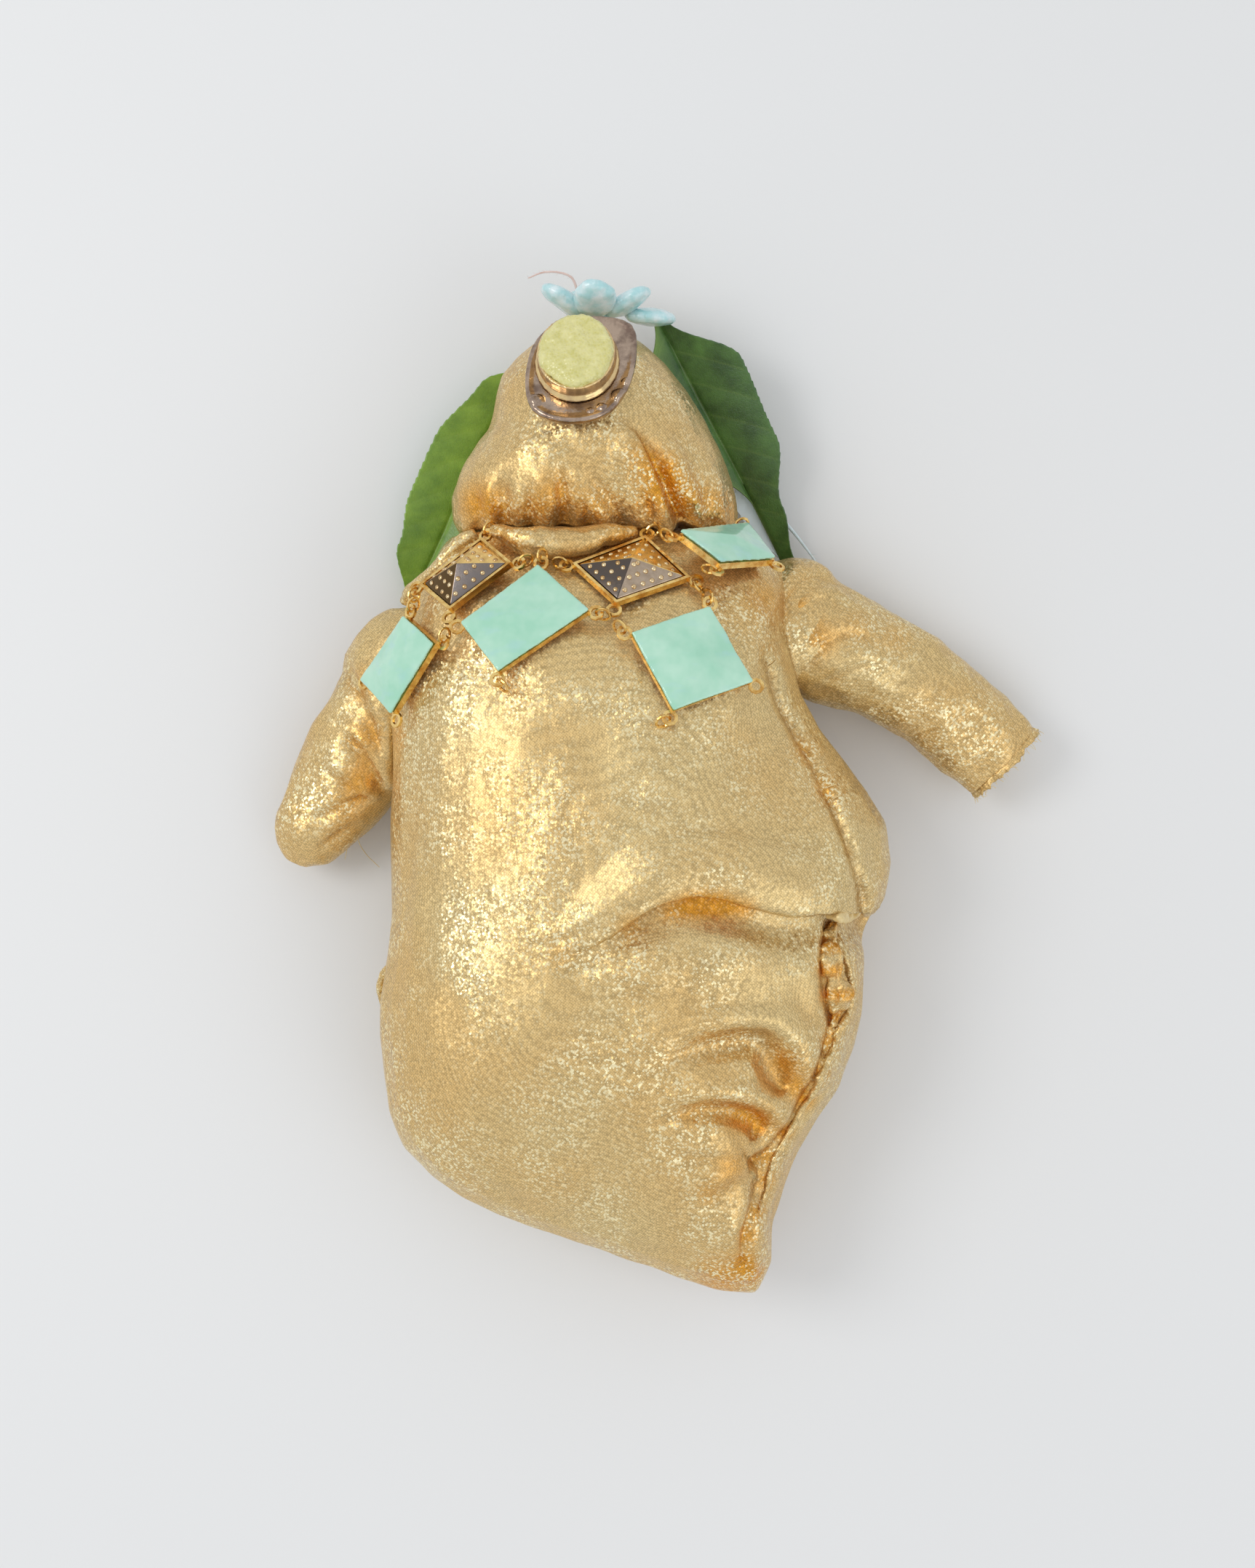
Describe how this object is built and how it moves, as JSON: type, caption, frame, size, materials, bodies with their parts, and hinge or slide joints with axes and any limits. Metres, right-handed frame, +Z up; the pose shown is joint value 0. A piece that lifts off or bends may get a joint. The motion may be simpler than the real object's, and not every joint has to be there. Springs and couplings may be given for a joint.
{
  "type": "stuffed cloth art doll",
  "caption": "Legless stuffed doll of gold metallic cloth with stub arms, a bib of enamelled tiles, a brooch, a flower and leaves.",
  "frame": {"origin": "on the table, under the middle of the box that the doll fills as it lies on its back", "axes": "+Y towards the crown of the head, +Z up from the table out of the chest, +X towards the arm with the cut end"},
  "size_m": [0.1943, 0.2519, 0.063],
  "materials": {
    "lame_cloth": "woven metallic",
    "gold_metal": "polished",
    "aqua_enamel": "glossy enamel",
    "gunmetal": "stamped, polished",
    "hammered_bronze": "hammered",
    "lime_stone": "rough crystalline",
    "petal_glaze": "glazed",
    "pink_thread": "fluffy",
    "green_leaf": "satin",
    "pale_feather": "matt"
  },
  "bodies": {
    "torso": {"torso_bag": "lame_cloth", "neck_roll": "lame_cloth", "neck_ring_left": "gold_metal", "neck_ring_middle_left": "gold_metal", "neck_ring_middle": "gold_metal", "neck_ring_middle_right": "gold_metal", "neck_ring_right": "gold_metal", "neck_ring_shoulder": "gold_metal", "neck_ring_outer": "gold_metal"},
    "arm_left": {"arm_left": "lame_cloth"},
    "arm_right": {"arm_right": "lame_cloth"},
    "head": {"head_bag": "lame_cloth", "brooch_plate": "hammered_bronze", "brooch_bezel": "gold_metal", "brooch_stone": "lime_stone", "petal_1": "petal_glaze", "petal_2": "petal_glaze", "petal_3": "petal_glaze", "petal_4": "petal_glaze", "petal_5": "petal_glaze", "flower_button": "petal_glaze", "flower_thread": "pink_thread"},
    "shoulder_tile_left": {"shoulder_tile_left_tray": "gold_metal", "shoulder_tile_left_enamel": "aqua_enamel", "shoulder_ring_left_lower": "gold_metal", "side_ring_left": "gold_metal"},
    "chest_tile_left": {"chest_tile_left_tray": "gold_metal", "chest_tile_left_enamel": "aqua_enamel", "side_ring_middle_upper": "gold_metal"},
    "chest_tile_right": {"chest_tile_right_tray": "gold_metal", "chest_tile_right_enamel": "aqua_enamel", "shoulder_ring_right_lower": "gold_metal", "side_ring_middle_lower": "gold_metal"},
    "shoulder_tile_right": {"shoulder_tile_right_tray": "gold_metal", "shoulder_tile_right_enamel": "aqua_enamel", "side_ring_right": "gold_metal"},
    "collar_tile_left": {"collar_tile_left_tray": "gold_metal", "collar_tile_left_face": "gunmetal", "shoulder_ring_left_upper": "gold_metal"},
    "collar_tile_right": {"collar_tile_right_tray": "gold_metal", "collar_tile_right_face": "gunmetal", "shoulder_ring_right_upper": "gold_metal"},
    "drop_rings_left": {"drop_ring_left": "gold_metal"},
    "drop_rings_right": {"drop_ring_right": "gold_metal"},
    "leaf_left": {"leaf_left": "green_leaf"},
    "leaf_right": {"leaf_right": "green_leaf", "feather_vane": "pale_feather", "feather_quill": "pale_feather"}
  },
  "joints": [
    {"name": "head_nod", "type": "hinge", "parent": "torso", "child": "head", "pos_m": [-0.016, 0.06215, 0.041], "axis": [1, 0, 0], "range_deg": [0, 20]},
    {"name": "arm_left_swing", "type": "hinge", "parent": "torso", "child": "arm_left", "pos_m": [-0.061, 0.0275, 0.0175], "axis": [0, 0, 1], "range_deg": [-30, 0]},
    {"name": "arm_right_swing", "type": "hinge", "parent": "torso", "child": "arm_right", "pos_m": [0.0345, 0.0402, 0.019], "axis": [0, 0, 1], "range_deg": [-8, 30]},
    {"name": "leaf_left_swing", "type": "hinge", "parent": "head", "child": "leaf_left", "pos_m": [-0.03, 0.106, 0.013], "axis": [0, 0, 1], "range_deg": [-12, 0]},
    {"name": "leaf_right_swing", "type": "hinge", "parent": "head", "child": "leaf_right", "pos_m": [0.0008, 0.1175, 0.019], "axis": [0, 0, 1], "range_deg": [0, 12]},
    {"name": "collar_tile_left_lift", "type": "hinge", "parent": "torso", "child": "collar_tile_left", "pos_m": [-0.04067, 0.05994, 0.04142], "axis": [0.5626, -0.5282, 0.6359], "range_deg": [-15, 0]},
    {"name": "collar_tile_right_lift", "type": "hinge", "parent": "torso", "child": "collar_tile_right", "pos_m": [-0.02113, 0.05194, 0.0475], "axis": [0.8791, 0.3768, -0.2918], "range_deg": [-15, 0]},
    {"name": "chest_tile_left_lift", "type": "hinge", "parent": "torso", "child": "chest_tile_left", "pos_m": [-0.02709, 0.05236, 0.04921], "axis": [0.9888, 0.0887, 0.1204], "range_deg": [-15, 0]},
    {"name": "chest_tile_right_lift", "type": "hinge", "parent": "collar_tile_right", "child": "chest_tile_right", "pos_m": [0.01269, 0.04251, 0.05282], "axis": [0.9263, -0.3666, -0.0871], "range_deg": [-25, 0]},
    {"name": "shoulder_tile_left_lift", "type": "hinge", "parent": "collar_tile_left", "child": "shoulder_tile_left", "pos_m": [-0.05875, 0.04157, 0.04197], "axis": [0.6987, 0.2723, 0.6615], "range_deg": [-25, 0]},
    {"name": "shoulder_tile_right_lift", "type": "hinge", "parent": "torso", "child": "shoulder_tile_right", "pos_m": [0.00407, 0.05871, 0.04856], "axis": [0.7089, 0.1671, -0.6852], "range_deg": [-20, 0]},
    {"name": "drop_rings_left_swing", "type": "hinge", "parent": "chest_tile_left", "child": "drop_rings_left", "pos_m": [-0.03683, 0.02433, 0.05855], "axis": [0, 0, 1], "range_deg": [-20, 20]},
    {"name": "drop_rings_right_swing", "type": "hinge", "parent": "chest_tile_right", "child": "drop_rings_right", "pos_m": [0.00313, 0.01535, 0.06094], "axis": [0, 0, 1], "range_deg": [-20, 20]}
  ]
}
